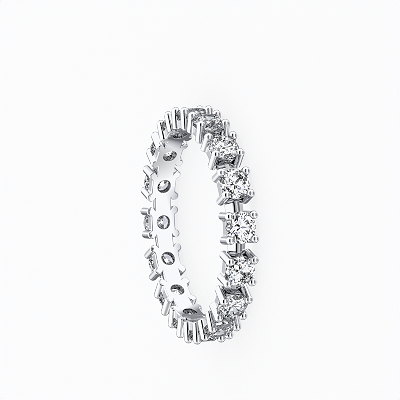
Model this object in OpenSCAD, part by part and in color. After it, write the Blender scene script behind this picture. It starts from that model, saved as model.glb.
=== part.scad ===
// Eternity ring lying on its side: sixteen round brilliants, each in four straight round-wire claws
// that stand on a pierced base plate, with a ridged bar joining one setting to the next.
// The ring's axis is Z, it rests on z = 0, and the first stone faces along +X.

/* [Finger size] */
// Diameter of the finger hole
inside_d = 17; // [14:0.25:23]

/* [Stones] */
// Number of stones around the ring
stone_count = 16; // [10:1:20]
// Diameter of a stone at its girdle
stone_d = 2.84; // [2:0.02:3.2]
// Width of the table as a share of the stone's diameter
table_share = 0.57; // [0.5:0.01:0.65]
// Slope of the crown facets in degrees
crown_angle = 34.5; // [28:0.5:38]
// Slope of the pavilion facets in degrees
pavilion_angle = 40.75; // [38:0.25:43]
// Thickness of the girdle
girdle_h = 0.05; // [0.03:0.01:0.1]
// How far the star facets reach from the table to the girdle
star_share = 0.52; // [0.4:0.01:0.65]
// How far the lower girdle facets reach from the girdle to the culet
lower_share = 0.77; // [0.6:0.01:0.85]
// Gap between the culet and the finger
culet_rise = 0.14; // [0.1:0.01:0.5]

/* [Claws] */
// Diameter of a claw wire
claw_d = 0.76; // [0.5:0.01:1]
// How deep a stone's edge is let into its claws
claw_bite = 0.25; // [0.1:0.01:0.3]
// Angle of a claw from the ring's axis, seen down on the stone
claw_angle = 42.5; // [38:0.5:50]
// Height of the domed claw tip above the stone's table
claw_over = 0.18; // [0.05:0.01:0.4]

/* [Base plates] */
// Width of a plate along the ring's axis
plate_w = 2.32; // [1.8:0.02:2.8]
// Thickness of a plate above the finger hole
plate_t = 0.85; // [0.5:0.05:1.1]
// Diameter of the hole under a stone
light_d = 1.24; // [0.8:0.02:1.5]

/* [Joining bar] */
// Width of the bar between two settings
bar_w = 1.6; // [1.2:0.02:2]
// Thickness of the bar at its ridge
bar_t = 1; // [0.7:0.02:1.1]
// Thickness of the bar at its sides
bar_side_t = 0.42; // [0.2:0.02:0.6]
// Radius of the bar's rounded ridge
bar_ridge_r = 0.5; // [0.3:0.02:0.6]

/* [Fit] */
// Gap between a stone and its metal seat
seat_gap = 0.03; // [0.02:0.01:0.06]

/* [Hidden] */
// Heights on a stone are measured from the top of its girdle
finger_r = inside_d / 2;
stone_r = stone_d / 2;
table_r = stone_r * table_share;
crown_h = (stone_r - table_r) * tan(crown_angle);
pavilion_h = stone_r * tan(pavilion_angle);
eighth = cos(22.5);
star_r = table_r * eighth + star_share * (stone_r - table_r * eighth);
star_z = (stone_r - star_r * eighth) * tan(crown_angle);
lower_r = stone_r * (1 - lower_share);
lower_z = -girdle_h - (stone_r - lower_r * eighth) * tan(pavilion_angle);
culet_z = -girdle_h - pavilion_h;
// Radius of the top of the girdles from the ring's axis
girdle_r = finger_r + culet_rise - culet_z;
claw_r = claw_d / 2;
claw_out = stone_r + claw_r - claw_bite;
claw_z = claw_out * cos(claw_angle);
claw_t = claw_out * sin(claw_angle);
claw_end_r = girdle_r + crown_h + claw_over;
half_w = claw_z + claw_r;
step_deg = 360 / stone_count;
// Middle of the ridge's arc, and the corner where a flank runs into it, just inside the arc
ridge_at = finger_r + bar_t - bar_ridge_r;
flank_deg = 44;
flank_at = ridge_at + 0.98 * bar_ridge_r * cos(flank_deg);
flank_out = 0.98 * bar_ridge_r * sin(flank_deg);
past = 0.5;

metal = [0.83, 0.84, 0.87];
gem = [0.88, 0.92, 0.98];

// One of the corner points of a stone: n points around, the first at angle a
function ring_points(r, z, n, a) = [for (i = [0 : n - 1]) [r * cos(a + i * 360 / n), r * sin(a + i * 360 / n), z]];

// Corners of a stone: table, star tips, girdle top, girdle bottom, lower tips, culet
stone_points = concat(
    ring_points(table_r, crown_h, 8, 0),
    ring_points(star_r, star_z, 8, 22.5),
    ring_points(stone_r, 0, 16, 0),
    ring_points(stone_r, -girdle_h, 16, 0),
    ring_points(lower_r, lower_z, 8, 22.5),
    [[0, 0, culet_z]]);

stone_faces = concat(
    [[for (i = [7 : -1 : 0]) i]],
    [for (i = [0 : 7]) [i, (i + 1) % 8, 8 + i]],
    [for (i = [0 : 7]) [i, 8 + i, 16 + 2 * i, 8 + (i + 7) % 8]],
    [for (i = [0 : 7]) [8 + i, 16 + (2 * i + 1) % 16, 16 + 2 * i]],
    [for (i = [0 : 7]) [8 + i, 16 + (2 * i + 2) % 16, 16 + (2 * i + 1) % 16]],
    [for (i = [0 : 15]) [16 + i, 16 + (i + 1) % 16, 32 + (i + 1) % 16, 32 + i]],
    [for (i = [0 : 7]) [48 + i, 32 + 2 * i, 32 + (2 * i + 1) % 16]],
    [for (i = [0 : 7]) [48 + i, 32 + (2 * i + 1) % 16, 32 + (2 * i + 2) % 16]],
    [for (i = [0 : 7]) [48 + i, 56, 48 + (i + 7) % 8, 32 + 2 * i]]);

// Puts a shape made around Z, with z = 0 on the ring's axis, at the setting numbered i
module at_setting(i)
    translate([0, 0, half_w]) rotate([0, 0, i * step_deg]) rotate([0, 90, 0]) children();

// The room for a stone in the metal, with the light hole below it
module stone_seat() {
    g = seat_gap;
    translate([0, 0, girdle_r]) rotate_extrude($fn = 96) polygon([
        [0, culet_z - 2 * g],
        [lower_r + g, lower_z - g],
        [stone_r + g, -girdle_h - g],
        [stone_r + g, g],
        [star_r + g, star_z + g],
        [table_r + g, crown_h + g],
        [0, crown_h + g]]);
    translate([0, 0, finger_r - past]) cylinder(d = light_d, h = plate_t + past, $fn = 64);
}

// A straight round claw with a domed tip, from the finger hole up
module claw()
    union() {
        translate([0, 0, finger_r - past])
            cylinder(r = claw_r, h = claw_end_r - claw_r - finger_r + past, $fn = 48);
        translate([0, 0, claw_end_r - claw_r]) sphere(r = claw_r, $fn = 48);
    }

// The plate that carries one setting's four claws
module base_plate()
    translate([-plate_w / 2, -claw_t, finger_r - past]) cube([plate_w, 2 * claw_t, plate_t + past]);

// The bar that runs around under the settings: low sides, sloping flanks and a rounded ridge
module joining_bar()
    translate([0, 0, half_w]) union() {
        rotate_extrude($fn = 180) polygon([
            [finger_r - past, -bar_w / 2],
            [finger_r + bar_side_t, -bar_w / 2],
            [flank_at, -flank_out],
            [flank_at, flank_out],
            [finger_r + bar_side_t, bar_w / 2],
            [finger_r - past, bar_w / 2]]);
        rotate_extrude($fn = 180) translate([ridge_at, 0]) circle(r = bar_ridge_r, $fn = 96);
    }

module claw_mounting()
    color(metal) difference() {
        union() {
            joining_bar();
            for (i = [0 : stone_count - 1]) at_setting(i) {
                base_plate();
                for (x = [-1, 1], y = [-1, 1]) translate([x * claw_z, y * claw_t, 0]) claw();
            }
        }
        for (i = [0 : stone_count - 1]) at_setting(i) stone_seat();
        translate([0, 0, -past]) cylinder(r = finger_r, h = 2 * half_w + 2 * past, $fn = 180);
    }

module stone(i)
    color(gem) at_setting(i) translate([0, 0, girdle_r]) rotate([0, 0, claw_angle])
        polyhedron(points = stone_points, faces = stone_faces, convexity = 2);

claw_mounting();
stone(0);  // stone_01
stone(1);  // stone_02
stone(2);  // stone_03
stone(3);  // stone_04
stone(4);  // stone_05
stone(5);  // stone_06
stone(6);  // stone_07
stone(7);  // stone_08
stone(8);  // stone_09
stone(9);  // stone_10
stone(10);  // stone_11
stone(11);  // stone_12
stone(12);  // stone_13
stone(13);  // stone_14
stone(14);  // stone_15
stone(15);  // stone_16
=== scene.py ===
"""Eternity ring: round brilliants in claw settings, joined by a bar, lying on its side."""

import math

import bpy
import numpy as np
from bpy.props import FloatProperty, FloatVectorProperty, PointerProperty
from bpy.types import Operator, Panel, PropertyGroup
from mathutils import Matrix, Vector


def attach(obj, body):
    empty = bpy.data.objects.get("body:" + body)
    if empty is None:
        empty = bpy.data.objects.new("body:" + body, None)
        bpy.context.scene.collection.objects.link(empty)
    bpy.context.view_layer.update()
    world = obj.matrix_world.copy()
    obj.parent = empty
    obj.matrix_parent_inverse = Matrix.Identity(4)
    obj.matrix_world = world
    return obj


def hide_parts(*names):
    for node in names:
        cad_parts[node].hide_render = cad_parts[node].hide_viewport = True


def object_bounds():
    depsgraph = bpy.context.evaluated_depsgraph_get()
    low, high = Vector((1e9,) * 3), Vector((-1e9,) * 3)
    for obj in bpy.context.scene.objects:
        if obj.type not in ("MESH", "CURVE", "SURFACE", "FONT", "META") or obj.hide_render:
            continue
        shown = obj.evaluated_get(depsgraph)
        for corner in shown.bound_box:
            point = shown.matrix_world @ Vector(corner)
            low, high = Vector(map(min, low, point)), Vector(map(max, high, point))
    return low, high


bl_info = {
    "name": "Eternity ring",
    "version": (1, 0, 0),
    "blender": (4, 5, 0),
    "location": "View3D > Sidebar > Ring",
    "description": "A claw-set eternity ring in polished white gold with brilliant-cut diamonds",
    "category": "Add Mesh",
}

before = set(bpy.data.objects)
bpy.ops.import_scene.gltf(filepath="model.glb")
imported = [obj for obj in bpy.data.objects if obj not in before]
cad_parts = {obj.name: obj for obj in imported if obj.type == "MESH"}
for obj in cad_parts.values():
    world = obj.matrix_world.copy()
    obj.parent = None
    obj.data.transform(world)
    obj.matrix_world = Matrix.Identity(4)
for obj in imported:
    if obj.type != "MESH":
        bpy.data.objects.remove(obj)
CAD_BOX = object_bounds()
STONES = sorted(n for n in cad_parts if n.startswith("stone_"))
MM = 0.001
# Height of the ring's middle plane above the surface it lies on, in millimetres
MIDDLE = (CAD_BOX[0][2] + CAD_BOX[1][2]) / 2 / MM
# The camera's right, down and forward directions, and the ring's middle seen from it, in millimetres
CAMERA_ROWS = ((0.370517, -0.055889, -0.927143), (0.020808, -0.997438, 0.068442), (-0.928593, -0.044651, -0.368405))
CAMERA_OFFSET = (-0.1323, 2.1888, 425.0)
CAMERA_LENS, CAMERA_SENSOR = 431.73, 36.0

# Numbers of points along each part of a shape
CLAW_COLUMNS = 28
DOME_ROWS = 9
SIDE_COLUMNS, FILLET_COLUMNS, ROUND_COLUMNS, END_COLUMNS = 4, 9, 16, 5
LOW_EDGE_ROWS, TOP_EDGE_ROWS, FLAT_ROWS = 8, 4, 6
BAR_ROWS, RIDGE_POINTS, BAR_EDGE_POINTS = 12, 8, 6
# Heights of the rows up a claw's shaft, from the top of the girdle, closer together where the stone is let in
NOTCH_ROWS = (-0.35, -0.31, -0.28, -0.2, -0.12, -0.09, 0.02, 0.04, 0.1, 0.15, 0.19)
# The last row of a claw's dome, in degrees up from its edge
DOME_TOP = 84
# How far a hidden start or a flat is kept back from the surface or edge beside it, in millimetres
BACK = 0.02

# Dark patches of the light tent that the metal sees: middle, half width and soft edge in degrees, across and up
SLIT = ((-15, 15, 5), (0, 45, 6))
ROUND_SLIT = ((1.5, 26.5, 5), (0, 54, 10))
GREY = ((86, 26.5, 16), (1, 32.5, 16))
CARD = ((137, 9, 4), (2, 12, 6))
# Two bands up behind the ring, and where the rear starts and how softly
LOWER, UPPER = (-24.5, 28.5, 12), (36, 16, 12)
REAR, REAR_SOFT = 127, 20
# Where the dim floor starts and how softly
FLOOR, FLOOR_SOFT = -48, 30
# The share of the light that each of them takes away; the slit takes all
LOWER_DARK, UPPER_DARK, FLOOR_DARK, GREY_DARK, CARD_DARK, ROUND_DARK = 0.82, 0.72, 0.55, 0.7, 0.4, 0.43
# Rings of the tent that the stones see, by degrees from the camera's direction, and the shares that two take away
DISC, RING, BELT = (0, 12, 3), (55.5, 12.5, 2), (111, 21, 5)
DISC_DARK, BELT_DARK = 0.7, 0.23
# Strength of the white of the tent for the metal and for the stones
METAL_LIGHT, STONE_LIGHT = 1.27, 1.07


# Sizes and colours


class RingSizes(PropertyGroup):
    """Sizes in millimetres, angles and shares as in the part's source, and the rounds that only these pieces have."""

    finger_r: FloatProperty(name="Finger radius", description="Radius of the finger hole", default=8.5)
    stone_r: FloatProperty(name="Stone radius", description="Radius of a stone at its girdle", default=1.42)
    girdle_r: FloatProperty(
        name="Girdle height", description="Height of the girdles above the ring's axis", default=9.9136
    )
    claw_r: FloatProperty(name="Claw radius", description="Radius of a claw wire", default=0.38)
    claw_z: FloatProperty(
        name="Claw offset along the axis", description="From the middle plane to a claw", default=1.1428
    )
    claw_t: FloatProperty(
        name="Claw offset around the ring", description="From a stone's middle to a claw", default=1.0472
    )
    claw_end: FloatProperty(name="Claw height", description="Height of the claw tips", default=10.5132)
    plate_z: FloatProperty(name="Plate half width", description="Half the width of a base plate", default=1.16)
    plate_t: FloatProperty(name="Plate thickness", description="Thickness of a base plate", default=0.85)
    light_r: FloatProperty(name="Light hole radius", description="Hole under a stone", default=0.62)
    bar_z: FloatProperty(name="Bar half width", description="Half the width of the joining bar", default=0.8)
    bar_t: FloatProperty(name="Bar thickness", description="Thickness of the bar at its ridge", default=1.0)
    bar_side: FloatProperty(name="Bar side", description="Thickness of the bar at its sides", default=0.42)
    ridge_r: FloatProperty(name="Ridge radius", description="Radius of the bar's rounded ridge", default=0.5)
    comfort_r: FloatProperty(
        name="Comfort curve", description="Radius of the slight curve across the finger side", default=11.0
    )
    plate_edge: FloatProperty(name="Plate edge", description="Rounding of a plate's finger edge", default=0.12)
    bar_edge: FloatProperty(name="Bar edge", description="Rounding of the bar's finger edge", default=0.1)
    fillet_r: FloatProperty(name="Fillet", description="Radius between a plate's side and a claw", default=0.15)
    seat_gap: FloatProperty(name="Seat gap", description="Gap between a stone and its seat", default=0.03)
    table_share: FloatProperty(name="Table", description="Width of the table by the stone's", default=0.57)
    crown_angle: FloatProperty(name="Crown angle", description="Slope of the crown in degrees", default=34.5)
    pavilion_angle: FloatProperty(
        name="Pavilion angle", description="Slope of the pavilion in degrees", default=40.75
    )
    girdle_h: FloatProperty(name="Girdle", description="Thickness of the girdle", default=0.05)
    star_share: FloatProperty(name="Star", description="Reach of the star facets to the girdle", default=0.52)
    lower_share: FloatProperty(
        name="Lower facets", description="Reach of the lower facets to the culet", default=0.77
    )


class RingLooks(PropertyGroup):
    """Finishes and light."""

    metal: FloatVectorProperty(
        name="Metal", description="Colour of the white gold", subtype="COLOR", default=(0.74, 0.745, 0.765)
    )
    gem: FloatVectorProperty(
        name="Diamond", description="Colour of the stones", subtype="COLOR", default=(0.97, 0.98, 1.0)
    )
    gem_ior: FloatProperty(name="Refraction", description="Refractive index of the stones", default=2.417)
    glare: FloatProperty(name="Glare", description="How much a stone's outer faces mirror", default=0.05)
    # Painted shade: the share of the metal's colour left where shade is painted in recesses and between parts.
    shade_share: FloatProperty(name="Painted_shade", description="Share of the metal's colour left in a recess", default=0.4)
    floor: FloatVectorProperty(
        name="Floor", description="Colour of the floor", subtype="COLOR", default=(0.93, 0.93, 0.94)
    )
    floor_matt: FloatProperty(name="Floor's matt share", description="How much light it scatters", default=0.14)
    floor_glow: FloatProperty(name="Floor's glow", description="How much it lights itself", default=0.86)
    sky: FloatProperty(name="Studio light", description="Strength of the light all round", default=1.0)
    crisp: FloatProperty(name="Crispness", description="How much the picture is sharpened", default=0.15)


# Surfaces


def grid_faces(rows, cols, closed_rows, closed_cols):
    """Quads over a grid of rows by columns, with either direction closed on itself."""
    i, j = np.meshgrid(np.arange(rows - (not closed_rows)), np.arange(cols - (not closed_cols)), indexing="ij")
    down, right = (i + 1) % rows, (j + 1) % cols
    return np.stack([i * cols + j, i * cols + right, down * cols + right, down * cols + j], -1).reshape(-1, 4)


def fan_faces(first, cols, middle):
    """Triangles that close the ring of cols points from first on to the point numbered middle."""
    j = np.arange(cols)
    return np.stack([first + j, first + (j + 1) % cols, np.full(cols, middle)], -1)


def outward(points, faces):
    """The faces, turned round if the volume they enclose, summed over their corner triangles, is negative."""
    volume = 0.0
    for group in faces:
        for k in range(1, group.shape[1] - 1):
            a, b, c = points[group[:, 0]], points[group[:, k]], points[group[:, k + 1]]
            volume += np.einsum("ij,ij->i", a, np.cross(b, c)).sum()
    return faces if volume > 0 else [group[:, ::-1] for group in faces]


def ended_tube(rings):
    """A tube of closed rings with each end closed on the middle of its last ring: points and outward faces."""
    rows, cols = rings.shape[:2]
    points = np.concatenate([rings.reshape(-1, 3), rings[0].mean(0)[None], rings[-1].mean(0)[None]])
    ends = [fan_faces(0, cols, rows * cols)[:, ::-1], fan_faces((rows - 1) * cols, cols, rows * cols + 1)]
    return points, outward(points, [grid_faces(rows, cols, False, True), *ends])


def looped_band(rings):
    """A band that closes on itself both ways, like a tyre: points and outward faces."""
    points = rings.reshape(-1, 3)
    return points, outward(points, [grid_faces(*rings.shape[:2], True, True)])


def arc(centre, radius, start, stop, steps):
    """Points of a circle's arc from start to stop degrees."""
    a = np.radians(np.linspace(start, stop, steps))
    return np.stack([centre[0] + radius * np.cos(a), centre[1] + radius * np.sin(a)], -1)


def joined(name, shapes, turns):
    """One mesh object of all shapes, each repeated at the given angles about the ring's axis, lifted to rest.

    A shape is its points, its faces, how much painted shade each point gets, from 0 to 1, kept as the attribute
    recess, and the points' normals, with zeros where the mesh's own are good enough.
    """
    points, faces, shade_amount, ways, base = [], [], [], [], 0
    for verts, groups, recess, normals in shapes:
        for a in turns:
            shade_amount.append(recess)
            c, s = math.cos(a), math.sin(a)
            points.append(verts @ np.array([[c, s, 0], [-s, c, 0], [0, 0, 1]]))
            ways.append(normals @ np.array([[c, s, 0], [-s, c, 0], [0, 0, 1]]))
            faces += [face for group in groups for face in (group + base).tolist()]
            base += len(verts)
    mesh = bpy.data.meshes.new(name)
    points = (np.concatenate(points) + np.array([0, 0, MIDDLE])) * MM
    mesh.from_pydata(points.tolist(), [], faces)
    mesh.polygons.foreach_set("use_smooth", np.ones(len(faces), bool))
    # The attribute recess holds each point's share of painted shade.
    mesh.attributes.new("recess", "FLOAT", "POINT").data.foreach_set("value", np.concatenate(shade_amount).astype(np.float32))
    mesh.update()
    mesh.normals_split_custom_set_from_vertices(np.concatenate(ways).tolist())
    piece = bpy.data.objects.new(name, mesh)
    bpy.context.scene.collection.objects.link(piece)
    return piece


def cut(p):
    """Radii and heights of a brilliant's outline, from table to culet, heights counted from the girdle's top."""
    table, crown, pavilion = p.stone_r * p.table_share, math.radians(p.crown_angle), math.radians(p.pavilion_angle)
    eighth = math.cos(math.radians(22.5))
    star = table * eighth + p.star_share * (p.stone_r - table * eighth)
    lower = p.stone_r * (1 - p.lower_share)
    return {
        "table": (table, (p.stone_r - table) * math.tan(crown)),
        "star": (star, (p.stone_r - star * eighth) * math.tan(crown)),
        "girdle": (p.stone_r, -p.girdle_h),
        "lower": (lower, -p.girdle_h - (p.stone_r - lower * eighth) * math.tan(pavilion)),
        "culet": (0, -p.girdle_h - p.stone_r * math.tan(pavilion)),
    }


def seat_outline(p):
    """Heights above the ring's axis and radii of the room for a stone, its outline moved out by the seat gap."""
    c, g = cut(p), p.seat_gap
    heights = [c["culet"][1] - 2 * g, c["lower"][1] - g, c["girdle"][1] - g, g, c["star"][1] + g, c["table"][1] + g]
    radii = [0, c["lower"][0] + g, p.stone_r + g, p.stone_r + g, c["star"][0] + g, c["table"][0] + g]
    return p.girdle_r + np.array(heights), np.array(radii)


def comfort(p, z):
    """How far the finger side falls back at a distance z from the middle plane, z squared over twice the radius."""
    return z**2 / (2 * p.comfort_r)


def claw(p, side_z, side_t):
    """A straight round wire with a domed tip that grows out of the corner of its base plate.

    Rings of a circle follow the wire: the hidden start inside the plate, the shaft, then a half-sphere. Where a
    ring would enter the room for the stone, its points are moved straight out from the stone's axis, which cuts
    the notch.
    """
    r, top = p.claw_r, p.claw_end - p.claw_r
    start = [[r - BACK, 0.3], [r - BACK, p.plate_t - 0.07], [r, p.plate_t - 0.045]]
    notch = p.girdle_r - p.finger_r + np.array(NOTCH_ROWS)
    dome = arc((0, top - p.finger_r), r, 0, DOME_TOP, DOME_ROWS)
    line = np.concatenate([start, np.stack([np.full(len(notch), r), notch], -1), dome])
    around = np.linspace(0, 2 * np.pi, CLAW_COLUMNS, endpoint=False)
    t = side_t * p.claw_t + line[:, :1] * np.cos(around)
    z = side_z * p.claw_z + line[:, :1] * np.sin(around)
    height = p.finger_r + line[:, 1:] + 0 * t
    out = np.hypot(t, z)
    move = np.maximum(1, np.interp(height, *seat_outline(p), left=0, right=0) / out)
    points, faces = ended_tube(np.stack([height, t * move, z * move], -1))
    lean = np.zeros((len(line), 1))
    lean[-DOME_ROWS:, 0] = np.radians(np.linspace(0, DOME_TOP, DOME_ROWS))
    normals = np.stack([np.sin(lean) + 0 * t, np.cos(lean) * np.cos(around), np.cos(lean) * np.sin(around)], -1)
    cut_at = move > 1.001
    near = cut_at | np.roll(cut_at, 1, 0) | np.roll(cut_at, -1, 0) | np.roll(cut_at, 1, 1) | np.roll(cut_at, -1, 1)
    normals[near] = 0
    # The notch where the stone is let in gets full painted shade through the recess attribute.
    return points, faces, np.append(cut_at.ravel(), [0, 0]), np.append(normals.reshape(-1, 3), np.zeros((2, 3)), 0)


def plate_outline(p):
    """A base plate seen along the stone's axis: points (z, t), outward ways, ways on a circle, the same points with
    each fillet and claw flattened to one straight line, a very short line at the claw's middle with no number
    elsewhere, and the finger edge's rounding.

    A quarter is a straight side, a fillet, the round of the claw and the straight end at the bar. The other three
    mirror it. The fillet's middle is as far from the claw's as both radii added.
    """
    r, fillet, soft = p.claw_r, p.fillet_r, p.plate_edge
    claw_at = np.array([p.claw_z, p.claw_t])
    fillet_at = np.array([p.plate_z + fillet, 0])
    fillet_at[1] = p.claw_t - math.sqrt((r + fillet) ** 2 - (fillet_at[0] - p.claw_z) ** 2)
    lean = math.degrees(math.atan2(*(fillet_at - claw_at)[::-1]))
    side = np.stack([np.full(SIDE_COLUMNS, p.plate_z), np.linspace(0, fillet_at[1], SIDE_COLUMNS + 1)[:-1]], -1)
    hollow = arc((0, 0), 1, 180, 180 + lean, FILLET_COLUMNS)
    bend = np.linspace(lean, 180, ROUND_COLUMNS + 1)[1:]
    turned = arc((0, 0), 1, lean, 180, ROUND_COLUMNS + 1)[1:]
    end = np.stack([np.linspace(p.claw_z - r, 0, END_COLUMNS + 1)[1:], np.full(END_COLUMNS, p.claw_t)], -1)
    points = np.concatenate([side, fillet_at + fillet * hollow, claw_at + r * turned, end])
    first, middle, last = len(side), len(side) + len(hollow) // 2, len(side) + len(hollow) + len(turned) - 1
    neck = points.copy()
    neck[first:last + 1] = np.linspace(points[first], points[last], last + 1 - first)
    hub = np.full_like(points, np.nan)
    hub[middle:last + 1] = claw_at + np.linspace(-0.01, 0.01, last + 1 - middle)[:, None] * [-1, 1]
    ways = np.concatenate([side * 0 + [1, 0], -hollow, turned, end * 0 + [0, 1]])
    round_edge = np.concatenate([
        np.full(len(side) + len(hollow), soft), np.interp(bend, [140, 165, 180], [soft, 0.05, 0.03]),
        np.interp(end[:, 0], [0.6, 0.75], [0.004, 0.03])])[:, None]
    along = np.append(0, np.cumsum(np.hypot(*np.diff(points, axis=0).T)))
    turn = (along / along[-1] * np.pi / 2)[:, None]
    quarter = np.concatenate([points, ways, np.cos(turn), np.sin(turn), neck, hub, round_edge], 1)
    flips = ((1, 1), (-1, 1), (-1, -1), (1, -1))
    whole = np.concatenate([
        (quarter[:-1] if u * v > 0 else quarter[:0:-1]) * [*[u, v] * 5, 1] for u, v in flips])
    return [whole[:, i:i + 2] for i in range(0, 10, 2)] + [whole[:, 10]]


def base_plate(p):
    """A plate with the rounds of its four claws at its corners, and a round light hole that opens into a cone.

    Rings run down the cone and the hole, out along the finger side, round its edge, up the side and back over the
    top. A ring is a circle, the outline moved inwards, or a mean of two rings. The finger side is bent to the
    finger hole and to the comfort curve, and the bend fades towards the top. The normals are worked out from the
    same shapes outside the hole and the cone, so a mirror finish stays even.
    """
    outline, ways, circle, neck, hub, soft = plate_outline(p)
    thick, hole = p.plate_t, p.light_r
    heights, radii = seat_outline(p)
    cone_top = float(np.interp(p.finger_r + thick, heights, radii))
    cone_low = float(np.interp(hole, radii[:3], heights[:3])) - p.finger_r
    inner = np.concatenate([
        [[cone_top + 0.05, thick], [cone_top + 0.015, thick], [cone_top, thick - 0.01]],
        [[hole + 0.01, cone_low + 0.01], [hole, cone_low - 0.02], [hole, 0.06]],
        arc((hole + 0.04, 0.04), 0.04, 180, 270, 4), [[hole + 0.05, 0]]])
    low = np.radians(np.linspace(270, 180, LOW_EDGE_ROWS))[:, None]
    high, high_r = np.radians(np.linspace(180, 90, TOP_EDGE_ROWS))[:, None], 0.05
    inset = np.concatenate([[soft + BACK], soft * (1 + np.cos(low)), [0 * soft, 0 * soft],
                            high_r * (1 + np.cos(high)) + 0 * soft])
    level = np.concatenate([[0 * soft], soft * (1 + np.sin(low)), [soft + BACK, thick - high_r - 0.01 + 0 * soft],
                            thick + high_r * (np.sin(high) - 1) + 0 * soft])
    outwards = np.concatenate([[[0]], -np.cos(low), [[1], [1]], -np.cos(high)])[..., None]
    inwards = np.concatenate([[[1]], -np.sin(low), [[0], [0]], -np.sin(high)])[..., None]
    outer = outline - ways * inset[..., None]
    flat = [(1 - share) * circle * (hole + 0.08) + share * neck for share in np.linspace(0, 0.6, FLAT_ROWS)]
    spread = np.where(np.isnan(hub), (flat[-1] + outer[0]) / 2, hub)
    flat += [spread, (spread + outer[0]) / 2]
    top = 0.7 * circle * inner[0, 0] + 0.3 * neck
    top = [np.where(np.isnan(hub), (outer[-1] + top) / 2, hub), top]
    flat_ring = np.concatenate([[circle * x for x in inner[:, 0]], flat, outer, top])
    up = np.concatenate([inner[:, 1:] + 0 * soft, np.zeros((len(flat), len(soft))), level,
                         np.full((len(top), len(soft)), thick)])
    edge = slice(len(inner) + len(flat), -len(top))
    z, t = flat_ring[..., 0], flat_ring[..., 1]
    middle = np.sqrt(p.finger_r**2 - t**2)
    height = p.finger_r + up + (middle - p.finger_r + comfort(p, z)) * (1 - up / thick)
    points, faces = looped_band(np.stack([height, t, z], -1))
    # The cone and the light hole under the stone get full painted shade through the recess attribute.
    shade_amount = np.zeros(z.shape)
    shade_amount[2:len(inner) - 2] = 1
    normals = np.stack([0 * t - 1, -t / middle, z / p.comfort_r], -1)
    normals /= np.linalg.norm(normals, axis=-1, keepdims=True)
    sideways = np.stack([0 * soft, ways[:, 1], ways[:, 0]], -1)
    normals[edge] = outwards * sideways + inwards.clip(0) * normals[edge] + inwards.clip(None, 0) * [-1, 0, 0]
    normals[:len(inner)], normals[-len(top):] = 0, [1, 0, 0]
    return points, faces, shade_amount.ravel(), normals.reshape(-1, 3)


def joining_bar(p, step):
    """A ridged bar from one base plate to the next: its closed outline is turned about the ring's axis.

    The outline is the finger side, a rounded edge, the side, a sloping flank and half the ridge's arc, then the
    same mirrored.
    """
    half, soft, rest = p.bar_z, p.bar_edge, p.finger_r
    inside, shoulder = rest + 0.003, rest + p.bar_side
    ridge = arc((0, rest + p.bar_t - p.ridge_r), p.ridge_r, 46, 90, RIDGE_POINTS)
    edge = arc((half - soft, inside + soft), soft, -90, 0, BAR_EDGE_POINTS)
    level = [[z, inside] for z in (0.13, 0.26, 0.39, 0.49, 0.59, half - soft - BACK)]
    low = np.concatenate([level, edge])
    low[:, 1] += comfort(p, low[:, 0])
    side = np.array([[half, rest + soft + 0.04], [half, shoulder - 0.03], [half - 0.015, shoulder + 0.005]])
    flank = side[-1] + (ridge[0] - side[-1]) * np.array([[0.05], [0.95]])
    right = np.concatenate([low, side, flank, ridge])
    line = np.concatenate([[[0, inside]], right, right[-2::-1] * [-1, 1]])
    start = math.asin((p.claw_t - BACK) / rest)
    turn = np.linspace(start, step - start, BAR_ROWS)[:, None]
    rings = np.stack([line[:, 1] * np.cos(turn), line[:, 1] * np.sin(turn), line[:, 0] + 0 * turn], -1)
    slope = line[:, 0] / p.comfort_r + 0 * turn
    normals = np.stack([-np.cos(turn) + 0 * slope, -np.sin(turn) + 0 * slope, slope], -1)
    normals[:, len(level) + 2:-len(level) - 1] = 0
    normals /= np.maximum(np.linalg.norm(normals, axis=-1, keepdims=True), 1e-9)
    # The ridge, under the stones between the settings, gets painted shade through the recess attribute.
    shade_amount = np.where(line[:, 1] > ridge[0, 1] - 0.001, 0.7, 0) + 0 * turn
    return *ended_tube(rings), np.append(shade_amount, [0, 0]), np.append(normals.reshape(-1, 3), np.zeros((2, 3)), 0)


# Materials


class Sock:
    """A node's output that Python's operators work on: each adds a Math node."""

    def __init__(self, tree, out):
        self.tree, self.out = tree, out

    def _math(self, kind, *values):
        return Tree.node_in(self.tree, "ShaderNodeMath", {"operation": kind}, *values)

    def __add__(self, other):
        return self._math("ADD", self, other)

    def __sub__(self, other):
        return self._math("SUBTRACT", self, other)

    def __mul__(self, other):
        return self._math("MULTIPLY", self, other)

    def __truediv__(self, other):
        return self._math("DIVIDE", self, other)

    def __radd__(self, other):
        return self._math("ADD", other, self)

    def __rsub__(self, other):
        return self._math("SUBTRACT", other, self)

    def __rmul__(self, other):
        return self._math("MULTIPLY", other, self)

    def __abs__(self):
        return self._math("ABSOLUTE", self)

    def clipped(self):
        """The value held between 0 and 1."""
        return Tree.node_in(self.tree, "ShaderNodeClamp", {}, self)

    def band(self, middle, half, soft):
        """1 within half of middle, 0 further out, with an edge that is soft wide."""
        return ((half - abs(self - middle)) / soft + 0.5).clipped()


class Tree:
    """Builds a node tree: node() takes a type, its settings and its inputs by place or by name."""

    def __init__(self, tree):
        self.tree = tree
        tree.nodes.clear()

    @staticmethod
    def node_in(tree, kind, settings=None, *values, output=0, **named):
        made = tree.nodes.new(kind)
        for key, value in (settings or {}).items():
            setattr(made, key, value)
        inputs = list(enumerate(values)) + [(k.replace("_", " "), v) for k, v in named.items()]
        for key, value in inputs:
            if isinstance(value, Sock):
                tree.links.new(value.out, made.inputs[key])
            elif value is not None:
                made.inputs[key].default_value = value
        return Sock(tree, made.outputs[output]) if len(made.outputs) else made

    def node(self, kind, settings=None, *values, output=0, **named):
        return self.node_in(self.tree, kind, settings, *values, output=output, **named)

    def blend(self, share, first, second):
        """A colour between two: share 0 gives the first, 1 the second."""
        return self.node("ShaderNodeMix", {"data_type": "RGBA"}, share, *[None] * 5, first, second, output=2)


def new_material(name):
    """A material with an empty node tree."""
    material = bpy.data.materials.new(name)
    material.use_nodes = True
    return material, Tree(material.node_tree)


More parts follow.
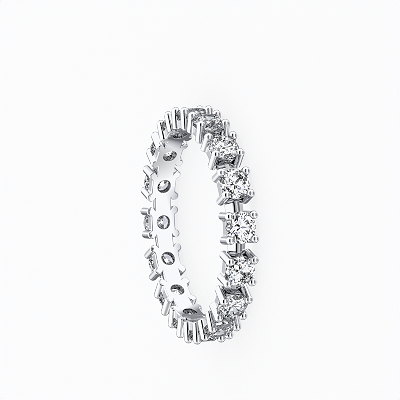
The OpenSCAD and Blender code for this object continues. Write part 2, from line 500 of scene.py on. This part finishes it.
def white_gold(looks):
    """Mirror-polished white gold: soft clouds in its colour and gloss, a faint ripple from the polishing mop, and
    painted shade: a darker colour where ambient occlusion finds other parts close by, and where the recess attribute
    marks the notches, the light holes and the bar's ridge under the stones."""
    material, t = new_material("polished_white_gold")
    place = t.node("ShaderNodeTexCoord", output="Object")
    cloud = t.node("ShaderNodeTexNoise", {}, Vector=place, Scale=900.0, Detail=2.0)
    ripple = t.node("ShaderNodeTexNoise", {}, Vector=place, Scale=2600.0, Detail=3.0)
    # Painted shade: ambient occlusion and the recess attribute darken the metal's colour between parts and under the
    # stones.
    open_share = t.node("ShaderNodeAmbientOcclusion", {"samples": 8, "only_local": False}, Distance=0.0003,
                        output="AO")
    recess = t.node("ShaderNodeAttribute", {"attribute_name": "recess"}, output="Fac")
    # polished is the share of the metal's own colour that the painted shade leaves, not a finish.
    polished = ((open_share - 0.1) * 2.5).clipped() * (1 - recess * 0.8)
    tone = t.blend(cloud, (*[c * 0.985 for c in looks.metal], 1), (*looks.metal, 1))
    tone = t.blend(polished, (*[c * looks.shade_share for c in looks.metal], 1), tone)
    bump = t.node("ShaderNodeBump", {}, Strength=0.02, Distance=0.00001, Height=ripple, output="Normal")
    shader = t.node("ShaderNodeBsdfPrincipled", {}, Base_Color=tone, Metallic=1.0,
                    Roughness=0.02 + cloud * 0.04, Normal=bump)
    t.node("ShaderNodeOutputMaterial", {}, Surface=shader)
    return material


def diamond(looks):
    """Colourless diamond: clear, with the refraction of diamond, and a breath of blue that drifts through it.

    The outer faces mirror less than the inner ones, so the glare on them doesn't veil the light from inside.
    """
    material, t = new_material("diamond")
    place = t.node("ShaderNodeTexCoord", output="Object")
    drift = t.node("ShaderNodeTexNoise", {}, Vector=place, Scale=500.0, Detail=1.0)
    tone = t.blend(drift, (*looks.gem, 1), (1, 1, 1, 1))
    outer, inner = [
        t.node("ShaderNodeBsdfPrincipled", {}, Base_Color=tone, Roughness=0.0, IOR=looks.gem_ior,
               Transmission_Weight=1.0, Specular_Tint=(glare, glare, glare, 1)) for glare in (looks.glare, 1.0)]
    from_inside = t.node("ShaderNodeNewGeometry", output="Backfacing")
    shader = t.node("ShaderNodeMixShader", {}, from_inside, outer, inner)
    t.node("ShaderNodeOutputMaterial", {}, Surface=shader)
    return material


def paper(looks):
    """Pale floor, which mostly lights itself, so the shadow on it stays faint."""
    material, t = new_material("pale_floor")
    shader = t.node("ShaderNodeBsdfPrincipled", {}, Base_Color=(*[c * looks.floor_matt for c in looks.floor], 1),
                    Roughness=0.9, Emission_Color=(*looks.floor, 1), Emission_Strength=looks.floor_glow)
    t.node("ShaderNodeOutputMaterial", {}, Surface=shader)
    return material


def studio(looks):
    """A white light tent, seen by direction from the ring.

    The metal sees a black upright slit at the camera with grey beside it, two dark bands and a small grey card
    behind the ring, a dim floor, and grey to the right. The stones see a black ring round the camera's direction
    with a blue-grey disc in it, and a pale grey belt further round.
    """
    world = bpy.data.worlds.new("studio")
    world.use_nodes = True
    t = Tree(world.node_tree)
    way = t.node("ShaderNodeTexCoord", output="Generated")
    right, down, away = [t.node("ShaderNodeVectorMath", {"operation": "DOT_PRODUCT"}, way, row, output="Value")
                         for row in CAMERA_ROWS]
    side = t.node("ShaderNodeMath", {"operation": "ARCTAN2"}, right, away * -1) * math.degrees(1)
    rise = t.node("ShaderNodeMath", {"operation": "ARCSINE"}, down * -1) * math.degrees(1)
    slit, round_slit, grey, card = [side.band(*across) * rise.band(*up) for across, up in
                                    (SLIT, ROUND_SLIT, GREY, CARD)]
    behind = ((abs(side) - REAR) / REAR_SOFT).clipped()
    lower, upper = behind * rise.band(*LOWER), behind * rise.band(*UPPER)
    below = ((FLOOR - rise) / FLOOR_SOFT).clipped()
    dim = (1 - lower * LOWER_DARK) * (1 - upper * UPPER_DARK) * (1 - below * FLOOR_DARK)
    dim = dim * (1 - grey * GREY_DARK) * (1 - card * CARD_DARK)
    light = METAL_LIGHT * dim * (1 - slit) * (1 - round_slit * ROUND_DARK)
    tint = t.blend((slit + (lower + upper + grey) * 0.6).clipped(), (1, 1, 1, 1), (0.86, 0.87, 1, 1))

    lean = t.node("ShaderNodeMath", {"operation": "ARCCOSINE"}, away * -1) * math.degrees(1)
    disc, ring, belt = lean.band(*DISC), lean.band(*RING), lean.band(*BELT)
    sparkle = STONE_LIGHT * (1 - ring) * (1 - disc * DISC_DARK) * (1 - belt * BELT_DARK)
    cool = t.blend(disc + belt * 0.3, (1, 1, 1, 1), (0.62, 0.75, 1, 1))

    inside_stone = t.node("ShaderNodeLightPath", output="Is Transmission Ray")
    colour = t.blend(inside_stone, tint, cool)
    sky = t.node("ShaderNodeBackground", {}, colour, (light + (sparkle - light) * inside_stone) * looks.sky)
    t.node("ShaderNodeOutputWorld", {}, Surface=sky)
    return world


def sharpened(scene, share):
    """Sharpens the picture a little, as a camera does: on its brightness as seen, held between black and white."""
    scene.use_nodes = True
    t = Tree(scene.node_tree)
    seen = t.node("CompositorNodeGamma", {}, t.node("CompositorNodeRLayers"), 1 / 2.2)
    held = t.node("CompositorNodeMixRGB", {"use_clamp": True}, 0.0, seen, seen)
    crisp = t.node("CompositorNodeFilter", {"filter_type": "SHARPEN_DIAMOND"}, share, held)
    t.node("CompositorNodeComposite", {}, t.node("CompositorNodeGamma", {}, crisp, 2.2))


# Operators


class RING_OT_mounting(Operator):
    """Makes the claws, the base plates and the joining bar, and puts them in the place of the plain mounting."""

    bl_idname = "ring.mounting"
    bl_label = "Mounting"

    def execute(self, context):
        p, looks = context.scene.ring_sizes, context.scene.ring_looks
        step = 2 * math.pi / len(STONES)
        turns = [i * step for i in range(len(STONES))]
        metal = white_gold(looks)
        for name, shapes in {
            "claws": [claw(p, z, t) for z in (-1, 1) for t in (-1, 1)],
            "base_plates": [base_plate(p)],
            "joining_bar": [joining_bar(p, step)],
        }.items():
            piece = joined(name, shapes, turns)
            piece.data.materials.append(metal)
            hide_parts("claw_mounting")
            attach(piece, "root")
        return {"FINISHED"}


class RING_OT_stones(Operator):
    """Gives the stones their clear diamond."""

    bl_idname = "ring.stones"
    bl_label = "Stones"

    def execute(self, context):
        material = diamond(context.scene.ring_looks)
        for name in STONES:
            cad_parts[name].material_slots[0].material = material
        return {"FINISHED"}


class RING_OT_stage(Operator):
    """Makes the floor, the studio light and the camera."""

    bl_idname = "ring.stage"
    bl_label = "Stage"

    def execute(self, context):
        scene, looks = context.scene, context.scene.ring_looks
        size = 4.0
        mesh = bpy.data.meshes.new("floor")
        mesh.from_pydata([(-size, -size, 0), (size, -size, 0), (size, size, 0), (-size, size, 0)], [], [(0, 1, 2, 3)])
        floor = bpy.data.objects.new("floor", mesh)
        floor.data.materials.append(paper(looks))
        floor.visible_glossy = floor.visible_transmission = False
        scene.collection.objects.link(floor)
        scene.world = studio(looks)

        camera = bpy.data.objects.new("camera", bpy.data.cameras.new("camera"))
        scene.collection.objects.link(camera)
        camera.data.lens, camera.data.sensor_width = CAMERA_LENS, CAMERA_SENSOR
        camera.data.clip_start, camera.data.clip_end = 0.01, 20.0
        right, down, away = CAMERA_ROWS
        place = -(np.array(CAMERA_ROWS).T @ np.array(CAMERA_OFFSET)) * MM + [0, 0, MIDDLE * MM]
        turn = np.eye(4)
        turn[:3, 0], turn[:3, 1], turn[:3, 2], turn[:3, 3] = right, -np.array(down), -np.array(away), place
        camera.matrix_world = Matrix(turn.tolist())
        scene.camera = camera
        scene.view_settings.view_transform = "Standard"
        scene.cycles.max_bounces = 24
        scene.cycles.transmission_bounces = 24
        scene.cycles.glossy_bounces = 12
        scene.cycles.use_denoising = True
        scene.cycles.filter_width = 1.0
        sharpened(scene, looks.crisp)
        return {"FINISHED"}


class RING_PT_panel(Panel):
    """Lists the ring's makers."""

    bl_idname = "RING_PT_panel"
    bl_label = "Eternity ring"
    bl_space_type = "VIEW_3D"
    bl_region_type = "UI"
    bl_category = "Ring"

    def draw(self, context):
        for maker in (RING_OT_mounting, RING_OT_stones, RING_OT_stage):
            self.layout.operator(maker.bl_idname)


CLASSES = (RingSizes, RingLooks, RING_OT_mounting, RING_OT_stones, RING_OT_stage, RING_PT_panel)


def register():
    for item in CLASSES:
        bpy.utils.register_class(item)
    bpy.types.Scene.ring_sizes = PointerProperty(type=RingSizes)
    bpy.types.Scene.ring_looks = PointerProperty(type=RingLooks)


def unregister():
    del bpy.types.Scene.ring_looks
    del bpy.types.Scene.ring_sizes
    for item in reversed(CLASSES):
        bpy.utils.unregister_class(item)


def main():
    register()
    bpy.ops.ring.mounting()
    bpy.ops.ring.stones()
    bpy.ops.ring.stage()


if __name__ == "__main__":
    main()
